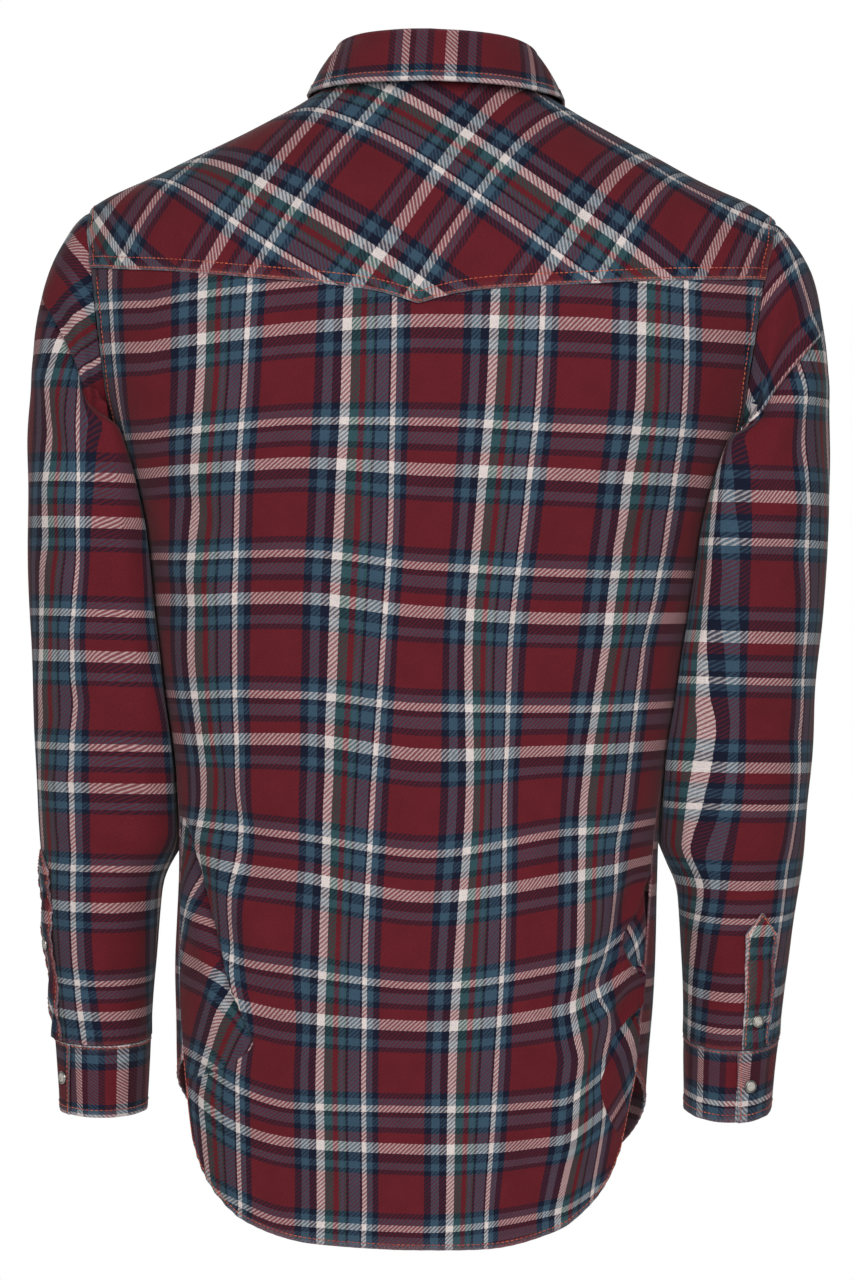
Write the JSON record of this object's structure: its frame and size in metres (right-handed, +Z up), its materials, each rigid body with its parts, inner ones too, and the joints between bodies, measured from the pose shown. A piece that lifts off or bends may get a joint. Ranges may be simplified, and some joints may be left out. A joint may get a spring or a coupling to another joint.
{
  "type": "western snap shirt",
  "caption": "Long-sleeved plaid western shirt with a pointed back yoke, turned-down collar, snap front and snap cuffs, hollow and filled out as worn.",
  "frame": {"origin": "between the sides of the neck, where the shoulders of a wearer carry the shirt", "axes": "+Z up along the body, -Y out of the front, +Y out of the back, +X to the wearer's left"},
  "size_m": [0.543, 0.2365, 0.8039],
  "materials": {
    "plaid_flannel": "brushed cotton twill, woven plaid in madder, navy, steel blue, green and cream",
    "snap_metal": "silver-coloured snap rims",
    "snap_pearl": "grey-white pearl snap faces"
  },
  "bodies": {
    "root": {"back": "plaid_flannel", "yoke": "plaid_flannel", "front_left": "plaid_flannel", "front_right": "plaid_flannel", "front_placket": "plaid_flannel", "collar_stand": "plaid_flannel", "collar": "plaid_flannel", "sleeve_left": "plaid_flannel", "sleeve_right": "plaid_flannel", "sleeve_placket_left": "plaid_flannel", "sleeve_placket_right": "plaid_flannel", "cuff_left": "plaid_flannel", "cuff_right": "plaid_flannel", "snap_rim_front_1": "snap_metal", "snap_rim_front_2": "snap_metal", "snap_rim_front_3": "snap_metal", "snap_rim_front_4": "snap_metal", "snap_rim_front_5": "snap_metal", "snap_rim_front_6": "snap_metal", "snap_rim_stand": "snap_metal", "snap_rim_placket_left": "snap_metal", "snap_rim_placket_right": "snap_metal", "snap_rim_cuff_left": "snap_metal", "snap_rim_cuff_right": "snap_metal", "snap_pearl_front_1": "snap_pearl", "snap_pearl_front_2": "snap_pearl", "snap_pearl_front_3": "snap_pearl", "snap_pearl_front_4": "snap_pearl", "snap_pearl_front_5": "snap_pearl", "snap_pearl_front_6": "snap_pearl", "snap_pearl_stand": "snap_pearl", "snap_pearl_placket_left": "snap_pearl", "snap_pearl_placket_right": "snap_pearl", "snap_pearl_cuff_left": "snap_pearl", "snap_pearl_cuff_right": "snap_pearl"}
  },
  "joints": []
}
